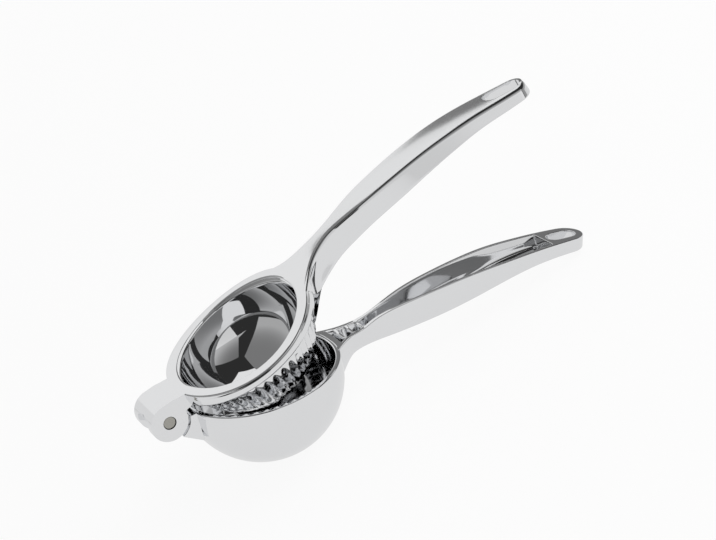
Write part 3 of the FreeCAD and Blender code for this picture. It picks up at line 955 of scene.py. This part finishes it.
def upper_handle(context):
    made = squeezer(context)
    form = UpperForm(made, UPPER_STATIONS, 1)
    handle, (start, end) = made.handle, made.upper_channel
    cut_x = made.upper_eye_x - handle.upper_eye_length / 2 - 1.6
    places = spaced((75.5, 93, 0.6), (93, 100, 0.5), (start, start + 1.2, 0.15), (100, 127, 0.5),
                    (127, end - 2, 1.5), (end - 2, end + 0.2, 0.2), (end + 0.2, cut_x, 0.5))
    eye = (made.upper_eye_x, handle.upper_eye_length, handle.upper_eye_width)
    builder = HandleBuilder(form, places, cut_x, made.tip_x - handle.draw_in, eye, upper_root, handle.overhang)
    builder.body()
    builder.tip()
    mesh = builder.shell.mesh("upper_grip")
    mark_brushed(mesh, form)
    return settle("upper_grip", mesh, "upper_arm", finish_of(context, "brushed_chrome"), ["upper_handle"])


def lower_handle(context):
    made = squeezer(context)
    form = LowerForm(made, LOWER_STATIONS, -1)
    handle, (start, end) = made.handle, made.trough
    cut_x = made.lower_eye_x - handle.lower_eye_length / 2 - 1.2
    places = spaced((82.6, 92, 0.5), (start, start + 0.8, 0.1), (87, 101, 0.2), (92, 101, 0.5),
                    (101, end - 1.2, 1.5), (end - 1.2, end + 0.1, 0.1), (end + 0.1, cut_x, 0.4))
    eye = (made.lower_eye_x, handle.lower_eye_length, handle.lower_eye_width)
    builder = HandleBuilder(form, places, cut_x, made.tip_x, eye, lower_root)
    builder.body()
    builder.tip()
    mesh = builder.shell.mesh("lower_grip")
    return settle("lower_grip", mesh, "lower_arm", finish_of(context, "polished_chrome"), ["lower_handle"])


# The strainer cup

def cup_mesh(made):
    """The turned shell of the cup before its holes, closed at both poles."""
    cup = made.cup
    inner = cup.radius - cup.wall
    depth = cup.sunk
    outer_top = math.sqrt(cup.radius ** 2 - depth ** 2)
    inner_top = math.sqrt(inner ** 2 - depth ** 2)
    rim_outer = np.array((outer_top, 0, depth))
    rim_inner = np.array((inner_top, 0, depth))
    outer_edge = rounded(rim_outer, (0.08, 0, -1), (-1, 0, 0), cup.rim_edge, 5)
    inner_edge = rounded(rim_inner, (1, 0, 0), (-0.08, 0, -1), cup.rim_edge, 5)
    angle_outer = math.degrees(math.asin((depth - cup.rim_edge) / cup.radius))
    angle_inner = math.degrees(math.asin((depth - cup.rim_edge) / inner))
    outside = [(cup.radius * math.cos(a), cup.radius * math.sin(a))
               for a in np.radians(np.linspace(-90, angle_outer - 0.3, 64))]
    inside = [(inner * math.cos(a), inner * math.sin(a))
              for a in np.radians(np.linspace(angle_inner - 0.3, -90, 64))]
    profile = np.array([*outside, *outer_edge[:, [0, 2]], *inner_edge[:, [0, 2]], *inside])
    angles = np.linspace(0, 2 * math.pi, 181)[:-1]
    grid = np.stack([profile[:, :1] * np.cos(angles), profile[:, :1] * np.sin(angles),
                     np.repeat(profile[:, 1:], len(angles), 1)], -1)
    shell = Shell()
    shell.patch(grid, closed=True)
    return shell.mesh("strainer_shell")


def drilling_tree(name, material, rings):
    """A node tree that drills rings of round holes through its geometry, along Z."""
    tree = bpy.data.node_groups.new(name, "GeometryNodeTree")
    face = tree.interface
    face.new_socket("Geometry", in_out="INPUT", socket_type="NodeSocketGeometry")
    sockets = {}
    for label, value in (("Hole radius", 1.5), ("Ring pitch", 4.7), ("Drill length", 18.0), ("Drill height", -36.0)):
        socket = face.new_socket(label, in_out="INPUT", socket_type="NodeSocketFloat")
        socket.default_value = value
        sockets[label] = socket.identifier
    face.new_socket("Geometry", in_out="OUTPUT", socket_type="NodeSocketGeometry")
    new, link = tree.nodes.new, tree.links.new
    entry, leave = new("NodeGroupInput"), new("NodeGroupOutput")
    gathered = new("GeometryNodeJoinGeometry")
    middle = new("GeometryNodePoints")
    middle.inputs["Count"].default_value = 1
    link(middle.outputs[0], gathered.inputs[0])
    for ring in range(1, rings + 1):
        circle, radius = new("GeometryNodeMeshCircle"), new("ShaderNodeMath")
        radius.operation = "MULTIPLY"
        radius.inputs[1].default_value = ring
        circle.inputs["Vertices"].default_value = 6 * ring
        link(entry.outputs["Ring pitch"], radius.inputs[0])
        link(radius.outputs[0], circle.inputs["Radius"])
        link(circle.outputs[0], gathered.inputs[0])
    drill, copies = new("GeometryNodeMeshCylinder"), new("GeometryNodeInstanceOnPoints")
    drill.inputs["Vertices"].default_value = 24
    lift, up = new("GeometryNodeTransform"), new("ShaderNodeCombineXYZ")
    real, cut = new("GeometryNodeRealizeInstances"), new("GeometryNodeMeshBoolean")
    cut.operation = "DIFFERENCE"
    dressed = new("GeometryNodeSetMaterial")
    dressed.inputs["Material"].default_value = material
    link(entry.outputs["Hole radius"], drill.inputs["Radius"])
    link(entry.outputs["Drill length"], drill.inputs["Depth"])
    link(gathered.outputs[0], copies.inputs["Points"])
    link(drill.outputs["Mesh"], copies.inputs["Instance"])
    link(copies.outputs[0], real.inputs[0])
    link(real.outputs[0], lift.inputs["Geometry"])
    link(entry.outputs["Drill height"], up.inputs["Z"])
    link(up.outputs[0], lift.inputs["Translation"])
    link(entry.outputs["Geometry"], cut.inputs["Mesh 1"])
    link(lift.outputs[0], cut.inputs["Mesh 2"])
    link(cut.outputs["Mesh"], dressed.inputs["Geometry"])
    link(dressed.outputs[0], leave.inputs["Geometry"])
    return tree, sockets


def true_cup_normals(mesh, made):
    """Gives the drilled ball the normals of a true ball, and the holes those of round walls."""
    cup = made.cup
    inner = cup.radius - cup.wall
    normals = []
    corner_normals = [corner.vector.copy() for corner in mesh.corner_normals]
    for polygon in mesh.polygons:
        flat = polygon.normal
        reach = polygon.center.length
        facing = flat.dot(polygon.center.normalized())
        ball = polygon.center.z < cup.sunk - 1.2 and (abs(reach - cup.radius) < 0.2 or abs(reach - inner) < 0.2)
        for loop in polygon.loop_indices:
            spot = mesh.vertices[mesh.loops[loop].vertex_index].co
            if ball and abs(facing) > 0.8:
                normals.append(spot.normalized() * math.copysign(1, facing))
            elif polygon.center.z < -inner * 0.7:
                normals.append(flat.copy())
            else:
                normals.append(corner_normals[loop])
    mesh.normals_split_custom_set(normals)


def strainer_cup(context):
    made = squeezer(context)
    material = finish_of(context, "polished_chrome")
    source = bpy.data.objects.new("strainer_shell", cup_mesh(made))
    context.scene.collection.objects.link(source)
    tree, sockets = drilling_tree("drain_holes", material, made.cup.rings)
    modifier = source.modifiers.new("drains", "NODES")
    modifier.node_group = tree
    modifier[sockets["Hole radius"]] = made.cup.hole
    modifier[sockets["Ring pitch"]] = made.cup.pitch
    modifier[sockets["Drill length"]] = made.cup.radius / 2
    modifier[sockets["Drill height"]] = -made.cup.radius
    mesh = evaluated_mesh(source)
    source.modifiers.remove(modifier)
    bpy.data.objects.remove(source)
    mesh.shade_smooth()
    true_cup_normals(mesh, made)
    held = np.zeros(len(mesh.loops) * 3)
    mesh.corner_normals.foreach_get("vector", held)
    mesh.transform(Matrix.Translation(Vector(made.cup_centre)))
    mesh.normals_split_custom_set(held.reshape(-1, 3).tolist())
    mesh.name = "strainer_shell"
    return settle("strainer_shell", mesh, "lower_arm", material, ["strainer_cup"])


# The hinge

def prism(name, outline, half_width, steps=1):
    """A side outline of (x, z) points thickened to both sides of the arm's middle plane."""
    outline = np.array(outline, float)
    count = len(outline)
    levels = np.linspace(-half_width, half_width, steps + 1)
    points = [(x, y, z) for y in levels for x, z in outline]
    faces = [list(range(count))[::-1], [steps * count + i for i in range(count)]]
    for level in range(steps):
        low = level * count
        faces += [[low + i, low + (i + 1) % count, low + count + (i + 1) % count, low + count + i]
                  for i in range(count)]
    mesh = bpy.data.meshes.new(name)
    mesh.from_pydata(points, [], faces)
    shape = bmesh.new()
    shape.from_mesh(mesh)
    bmesh.ops.recalc_face_normals(shape, faces=shape.faces)
    shape.to_mesh(mesh)
    shape.free()
    return mesh


def arc(radius, start, end, steps, centre=(0.0, 0.0)):
    """Points of an arc in the side view, angles in degrees from the arm's direction."""
    return [(centre[0] + radius * math.cos(a), centre[1] + radius * math.sin(a))
            for a in np.radians(np.linspace(start, end, steps + 1))]


def carved(mesh, name, cutters, joined=()):
    """The mesh after cutting and joining other meshes, each made an object only for that."""
    tools, modifiers = [], []
    for operation, others in (("UNION", joined), ("DIFFERENCE", cutters)):
        for other in others:
            tool = bpy.data.objects.new("tool", other)
            bpy.context.scene.collection.objects.link(tool)
            tools.append(tool)
            modifiers.append(("BOOLEAN", {"operation": operation, "object": tool, "solver": "EXACT"}))
    result = finished(mesh, name, *modifiers)
    for tool in tools:
        bpy.data.objects.remove(tool)
    return result


def edge_rounded(mesh, name, width, angle=35):
    """The mesh with its sharp edges rounded and its flat faces kept flat."""
    shape = bmesh.new()
    shape.from_mesh(mesh)
    bmesh.ops.remove_doubles(shape, verts=shape.verts, dist=0.01)
    bmesh.ops.dissolve_limit(shape, angle_limit=math.radians(0.5), verts=shape.verts, edges=shape.edges)
    shape.to_mesh(mesh)
    shape.free()
    mesh.shade_smooth()
    result = finished(mesh, name, ("BEVEL", {
        "width": width, "segments": 4, "limit_method": "ANGLE", "angle_limit": math.radians(angle),
        "harden_normals": False, "use_clamp_overlap": True, "miter_outer": "MITER_ARC"}),
        ("WEIGHTED_NORMAL", {"keep_sharp": False, "weight": 80}))
    return result


def tab_top(made, x):
    """Height of the tab's top, from the ears to the ring's land."""
    line = 8.36 - (x - 1.5) * 0.1816
    land = land_height(made, np.maximum(x, made.centre_x - made.bowl.ring)) + 0.03
    mixed = ease(6.0, 13.2, x)
    return line * (1 - mixed) + land * mixed


def hinge_fork(context):
    made = squeezer(context)
    hinge = made.hinge
    half, radius = hinge.width / 2, hinge.ear_radius
    under = -1.0
    start = math.degrees(math.asin(under / radius))
    outline = arc(radius, 360 + start, 79.7, 56)
    tops = [(x, float(tab_top(made, x))) for x in np.linspace(3.0, 14.6, 24)]
    outline = outline + tops + [(14.6, under)]
    body = prism("fork_body", outline, half)
    room_radius = radius - hinge.web
    room_half = half - hinge.ear_thickness
    roof = 3.4
    roof_angle = math.degrees(math.asin(roof / room_radius))
    front = 143.0
    far = 40.0
    room = [(far, roof), *arc(room_radius, roof_angle, front, 24)]
    room += [(far * math.cos(math.radians(front)), far * math.sin(math.radians(front))), (-far, -far), (far, -far)]
    inside = prism("fork_room", room, room_half)
    bore = prism("fork_bore", arc(hinge.pin_radius + hinge.pin_groove, 0, 354, 59), half + 5)
    arch_depth = 1.9
    arch_radius = (room_half ** 2 + arch_depth ** 2) / (2 * arch_depth)
    aim = math.radians(front)
    slide = arch_radius - arch_depth
    edge = (radius * math.cos(aim) - slide * math.sin(aim), radius * math.sin(aim) + slide * math.cos(aim))
    arch = bpy.data.meshes.new("fork_arch")
    shape = bmesh.new()
    bmesh.ops.create_cone(shape, cap_ends=True, segments=96, radius1=arch_radius, radius2=arch_radius, depth=30)
    turn = Matrix.Rotation(math.pi / 2 - aim, 4, "Y")
    shape.transform(Matrix.Translation((edge[0] + 6 * math.cos(aim), 0, edge[1] + 6 * math.sin(aim))) @ turn)
    shape.to_mesh(arch)
    shape.free()
    slot = prism("arch_slot", [(-30, 30), (2, 30), (2, 0), (-30, 0)], room_half)
    limited = finished_intersection(arch, slot)
    mesh = carved(body, "hinge_yoke", [inside, bore, limited])
    mesh = edge_rounded(mesh, "hinge_yoke", hinge.edge)
    return settle("hinge_yoke", mesh, "upper_arm", finish_of(context, "polished_chrome"), ["hinge_fork"])


def finished_intersection(mesh, other):
    """What two meshes have in common."""
    tool = bpy.data.objects.new("tool", other)
    bpy.context.scene.collection.objects.link(tool)
    result = finished(mesh, "common", ("BOOLEAN", {"operation": "INTERSECT", "object": tool, "solver": "EXACT"}))
    bpy.data.objects.remove(tool)
    return result


def hinge_knuckle(context):
    made = squeezer(context)
    hinge = made.hinge
    radius = hinge.ear_radius - hinge.web - hinge.knuckle_gap
    half = hinge.width / 2 - hinge.ear_thickness - hinge.knuckle_gap
    rim = made.rim
    reach = made.near_x + 1.6
    neck = [*arc(radius, 10, 270, 48), (reach, -radius), (reach, rim), (radius + hinge.relief, rim)]
    barrel = prism("knuckle", neck, half)
    outline = [(4.0, rim), (reach, rim), (reach, -15.0), (4.0, -9.0)]
    lug = prism("lug", outline, hinge.width / 2)
    relief = prism("relief", arc(hinge.ear_radius + hinge.relief, 0, 357, 119), hinge.width)
    lug = carved(lug, "lug", [relief])
    bore = prism("knuckle_bore", arc(hinge.pin_radius + 0.05, 0, 354, 59), half + 5)
    mesh = carved(lug, "lug_knuckle", [bore], [barrel])
    mesh = edge_rounded(mesh, "lug_knuckle", hinge.edge * 0.8)
    return settle("lug_knuckle", mesh, "lower_arm", finish_of(context, "polished_chrome"), ["hinge_knuckle"])


def hinge_pin(context):
    made = squeezer(context)
    hinge = made.hinge
    half = hinge.width / 2 - hinge.pin_recess
    steps = 64
    angles = np.linspace(0, 2 * math.pi, steps + 1)[:-1]
    edge = 0.3
    profile = [(0.0, -half), (1.2, -half), (hinge.pin_radius - edge - 0.1, -half)]
    profile += [(hinge.pin_radius - edge + edge * math.sin(a), -half + edge - edge * math.cos(a))
                for a in np.radians(np.linspace(0, 90, 5))]
    profile += [(r, -y) for r, y in profile[::-1]]
    grid = np.array([[(r * math.cos(a), y, r * math.sin(a)) for a in angles] for r, y in profile])
    shell = Shell()
    shell.patch(grid, closed=True)
    mesh = shell.mesh("pin")
    return settle("pin", mesh, "upper_arm", finish_of(context, "brushed_pin"), ["hinge_pin"])


# The studio

def graded(nodes, links, near, far):
    """A brightness that runs from near at one distance from the middle of the table to far at another."""
    place, reach, run = nodes.new("ShaderNodeTexCoord"), nodes.new("ShaderNodeVectorMath"), nodes.new("ShaderNodeMapRange")
    reach.operation = "LENGTH"
    run.interpolation_type = "SMOOTHSTEP"
    for socket, value in (("From Min", near[0]), ("From Max", far[0]), ("To Min", near[1]), ("To Max", far[1])):
        run.inputs[socket].default_value = value
    links.new(place.outputs["Object"], reach.inputs[0])
    links.new(reach.outputs["Value"], run.inputs["Value"])
    return run.outputs["Result"]


def card(name, corners, near, far):
    """A studio card that lights the object and shows in its polish, but not to the camera."""
    material = bpy.data.materials.new(name)
    material.use_nodes = True
    nodes, links = material.node_tree.nodes, material.node_tree.links
    nodes.clear()
    shader, output = nodes.new("ShaderNodeEmission"), nodes.new("ShaderNodeOutputMaterial")
    links.new(graded(nodes, links, near, far), shader.inputs["Strength"])
    links.new(shader.outputs[0], output.inputs["Surface"])
    mesh = bpy.data.meshes.new(name)
    mesh.from_pydata([tuple(c) for c in corners], [], [list(range(len(corners)))])
    mesh.materials.append(material)
    piece = bpy.data.objects.new(name, mesh)
    bpy.context.scene.collection.objects.link(piece)
    piece.visible_camera = False
    piece.visible_shadow = False
    return piece


CEILING = 1.0
CEILING_CARDS = {
    "front_card": ((1.1, 0.16), (2.2, 0.50), [(0.13, -0.55), (1.6, -0.62), (2.6, -1.7), (-1.0, -1.7), (-0.32, -1.47)]),
    "left_card": ((1.1, 0.20), (2.6, 0.42), [(-0.03, -0.02), (-0.03, -0.46), (-0.39, -0.7), (-4.6, -3.0), (-4.6, 2.2), (-1.25, 2.2), (-0.32, 1.2)]),
    "back_card": ((0.35, 0.18), (1.0, 0.84), [(-0.03, 0.02), (-0.31, 1.2), (-1.2, 2.2), (0.55, 2.2), (0.62, 1.4), (1.5, 0.9), (0.35, -0.1)]),
}
WALL_CARDS = {
    "back_wall": ((2.2, 0.84), (3.2, 0.6), [(-2.4, 2.2, 0.0), (0.75, 2.2, 0.0), (0.75, 2.2, 1.0), (-2.4, 2.2, 1.0)]),
    "dim_wall": ((2.2, 0.22), (3.2, 0.16), [(0.75, 2.2, 0.0), (3.2, 2.2, 0.0), (3.2, 2.2, 2.2), (0.5, 2.2, 2.2)]),
    "right_wall": ((2.4, 0.34), (3.2, 0.2), [(2.4, -1.6, 0.0), (2.4, 2.2, 0.0), (2.4, 2.2, 0.9), (2.4, -1.6, 0.9)]),
    "front_wall": ((1.7, 0.66), (2.6, 0.82), [(-0.2, -1.7, 0.0), (2.4, -1.7, 0.0), (2.4, -1.7, 1.0), (-0.35, -1.7, 1.0)]),
}
FLOOR_NEAR = (0.10, 0.78)
FLOOR_FAR = (1.4, 0.66)


def studio(context):
    for name, (near, far, plan) in CEILING_CARDS.items():
        card(name, [(x, y, CEILING) for x, y in plan], near, far)
    for name, (near, far, corners) in WALL_CARDS.items():
        card(name, corners, near, far)
    floor_mesh = bpy.data.meshes.new("floor")
    reach = 6.0
    floor_mesh.from_pydata([(-reach, -reach, 0), (reach, -reach, 0), (reach, reach, 0), (-reach, reach, 0)],
                           [], [(0, 1, 2, 3)])
    floor_mesh.materials.append(pale_floor())
    floor = bpy.data.objects.new("floor", floor_mesh)
    context.scene.collection.objects.link(floor)
    sky(context)
    camera(context)


def pale_floor():
    """A white table: partly lit by the studio, and bright by itself where it is looked at or mirrored."""
    material = bpy.data.materials.new("pale_floor")
    material.use_nodes = True
    nodes, links = material.node_tree.nodes, material.node_tree.links
    nodes.clear()
    cloth, bright, mix = nodes.new("ShaderNodeBsdfDiffuse"), nodes.new("ShaderNodeEmission"), nodes.new("ShaderNodeMixShader")
    rays, top, output = nodes.new("ShaderNodeLightPath"), nodes.new("ShaderNodeMath"), nodes.new("ShaderNodeOutputMaterial")
    scale, level = nodes.new("ShaderNodeMath"), nodes.new("ShaderNodeMix")
    top.operation, scale.operation = "MAXIMUM", "MULTIPLY"
    cloth.inputs["Color"].default_value = (0.92, 0.92, 0.92, 1)
    scale.inputs[1].default_value = 0.9
    level.inputs["B"].default_value = 1.0
    links.new(rays.outputs["Is Camera Ray"], top.inputs[0])
    links.new(rays.outputs["Is Glossy Ray"], top.inputs[1])
    links.new(top.outputs[0], scale.inputs[0])
    links.new(scale.outputs[0], mix.inputs["Fac"])
    links.new(rays.outputs["Is Camera Ray"], level.inputs["Factor"])
    links.new(graded(nodes, links, FLOOR_NEAR, FLOOR_FAR), level.inputs["A"])
    links.new(level.outputs["Result"], bright.inputs["Strength"])
    links.new(cloth.outputs[0], mix.inputs[1])
    links.new(bright.outputs[0], mix.inputs[2])
    links.new(mix.outputs[0], output.inputs["Surface"])
    return material


def sky(context):
    """White to the camera, soft grey to the floor and nearly black to the polish."""
    world = bpy.data.worlds.new("studio")
    context.scene.world = world
    world.use_nodes = True
    nodes, links = world.node_tree.nodes, world.node_tree.links
    nodes.clear()
    rays, output = nodes.new("ShaderNodeLightPath"), nodes.new("ShaderNodeOutputWorld")
    dim, dark, white = (nodes.new("ShaderNodeBackground") for _ in range(3))
    dim.inputs["Strength"].default_value = 2.2
    dark.inputs["Strength"].default_value = 0.035
    white.inputs["Strength"].default_value = 1.0
    glossy, camera_mix = nodes.new("ShaderNodeMixShader"), nodes.new("ShaderNodeMixShader")
    links.new(rays.outputs["Is Glossy Ray"], glossy.inputs["Fac"])
    links.new(dim.outputs[0], glossy.inputs[1])
    links.new(dark.outputs[0], glossy.inputs[2])
    links.new(rays.outputs["Is Camera Ray"], camera_mix.inputs["Fac"])
    links.new(glossy.outputs[0], camera_mix.inputs[1])
    links.new(white.outputs[0], camera_mix.inputs[2])
    links.new(camera_mix.outputs[0], output.inputs["Surface"])


CAMERA = SimpleNamespace(azimuth=-22.48, elevation=25.21, roll=-14.34, distance=800.0, aim=(100.0, 0.0, 20.0),
                         right=2.97, up=5.74, focal_pixels=1813.07, frame_pixels=716, sensor=36.0)


def camera(context):
    """The camera of the photograph, set up in the lower arm's frame."""
    view = CAMERA
    a, e, roll = (math.radians(v) for v in (view.azimuth, view.elevation, view.roll))
    back = np.array((math.sin(a) * math.cos(e), -math.cos(a) * math.cos(e), math.sin(e)))
    right = np.array((math.cos(a), math.sin(a), 0.0))
    up = np.array((-math.sin(a) * math.sin(e), math.cos(a) * math.sin(e), math.cos(e)))
    right, up = right * math.cos(roll) + up * math.sin(roll), up * math.cos(roll) - right * math.sin(roll)
    place = np.array(view.aim) + back * view.distance + right * view.right + up * view.up
    axes = to_row(np.array((right, up, back)) / MM, "lower_arm") - HINGE
    matrix = Matrix(np.vstack([np.column_stack([axes.T, to_row([place], "lower_arm")[0]]), [0, 0, 0, 1]]).tolist())
    data = bpy.data.cameras.new("camera")
    data.sensor_width = view.sensor
    data.lens = view.focal_pixels * view.sensor / view.frame_pixels
    eye = bpy.data.objects.new("camera", data)
    context.scene.collection.objects.link(eye)
    eye.matrix_world = matrix
    context.scene.camera = eye
    context.scene.view_settings.view_transform = "Standard"


class SQUEEZER_OT_bowl(bpy.types.Operator):
    """Build the fluted press bowl and its ring"""
    bl_idname = "squeezer.bowl"
    bl_label = "Press bowl"

    def execute(self, context):
        press_bowl(context)
        return {"FINISHED"}


class SQUEEZER_OT_upper_handle(bpy.types.Operator):
    """Build the upper handle"""
    bl_idname = "squeezer.upper_handle"
    bl_label = "Upper handle"

    def execute(self, context):
        upper_handle(context)
        return {"FINISHED"}


class SQUEEZER_OT_cup(bpy.types.Operator):
    """Build the strainer cup and drill its holes"""
    bl_idname = "squeezer.cup"
    bl_label = "Strainer cup"

    def execute(self, context):
        strainer_cup(context)
        return {"FINISHED"}


class SQUEEZER_OT_lower_handle(bpy.types.Operator):
    """Build the lower handle with its trough and ribs"""
    bl_idname = "squeezer.lower_handle"
    bl_label = "Lower handle"

    def execute(self, context):
        lower_handle(context)
        return {"FINISHED"}


class SQUEEZER_OT_hinge(bpy.types.Operator):
    """Build the fork, the knuckle with its lug and the pin"""
    bl_idname = "squeezer.hinge"
    bl_label = "Hinge"

    def execute(self, context):
        hinge_fork(context)
        hinge_knuckle(context)
        hinge_pin(context)
        return {"FINISHED"}


class SQUEEZER_OT_studio(bpy.types.Operator):
    """Set up the table, the cards, the sky and the camera"""
    bl_idname = "squeezer.studio"
    bl_label = "Studio"

    def execute(self, context):
        studio(context)
        return {"FINISHED"}


OPERATORS = (SQUEEZER_OT_bowl, SQUEEZER_OT_upper_handle, SQUEEZER_OT_cup, SQUEEZER_OT_lower_handle,
             SQUEEZER_OT_hinge, SQUEEZER_OT_studio)


class SQUEEZER_PT_panel(bpy.types.Panel):
    """Lists the squeezer's build steps"""
    bl_idname = "SQUEEZER_PT_panel"
    bl_label = "Lemon squeezer"
    bl_space_type = "VIEW_3D"
    bl_region_type = "UI"
    bl_category = "Squeezer"

    def draw(self, context):
        for operator in OPERATORS:
            self.layout.operator(operator.bl_idname)


CLASSES = (*SIZE_GROUPS.values(), *OPERATORS, SQUEEZER_PT_panel)


def register():
    for cls in CLASSES:
        bpy.utils.register_class(cls)
    for name, group in SIZE_GROUPS.items():
        setattr(bpy.types.Scene, name, bpy.props.PointerProperty(type=group))


def unregister():
    for name in SIZE_GROUPS:
        delattr(bpy.types.Scene, name)
    for cls in reversed(CLASSES):
        bpy.utils.unregister_class(cls)


def main():
    register()
    bpy.ops.squeezer.bowl()
    bpy.ops.squeezer.upper_handle()
    bpy.ops.squeezer.cup()
    bpy.ops.squeezer.lower_handle()
    bpy.ops.squeezer.hinge()
    bpy.ops.squeezer.studio()


if __name__ == "__main__":
    main()
